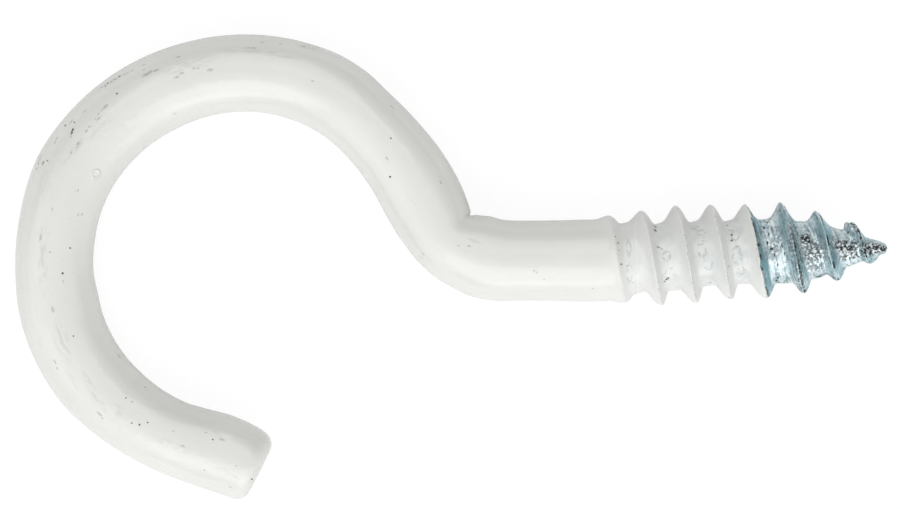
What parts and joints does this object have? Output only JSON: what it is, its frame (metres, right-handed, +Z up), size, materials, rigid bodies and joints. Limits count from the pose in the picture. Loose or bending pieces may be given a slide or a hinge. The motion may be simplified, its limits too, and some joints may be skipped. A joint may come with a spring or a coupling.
{
  "type": "screw hook",
  "caption": "Screw hook bent from one coated steel wire, with an open round eye to hang things on and a wood-screw thread with a point to drive into timber.",
  "frame": {"origin": "on the shank's axis, where the plain wire ends and the thread begins", "axes": "+X along the shank towards the point, +Y to the side that the hook's back bulges to, +Z up, square to the plane that the wire is bent in; the hook lies flat"},
  "size_m": [0.0603, 0.0322, 0.0066],
  "materials": {
    "coated_steel": "gloss"
  },
  "bodies": {
    "root": {"hook": "coated_steel"}
  },
  "joints": []
}
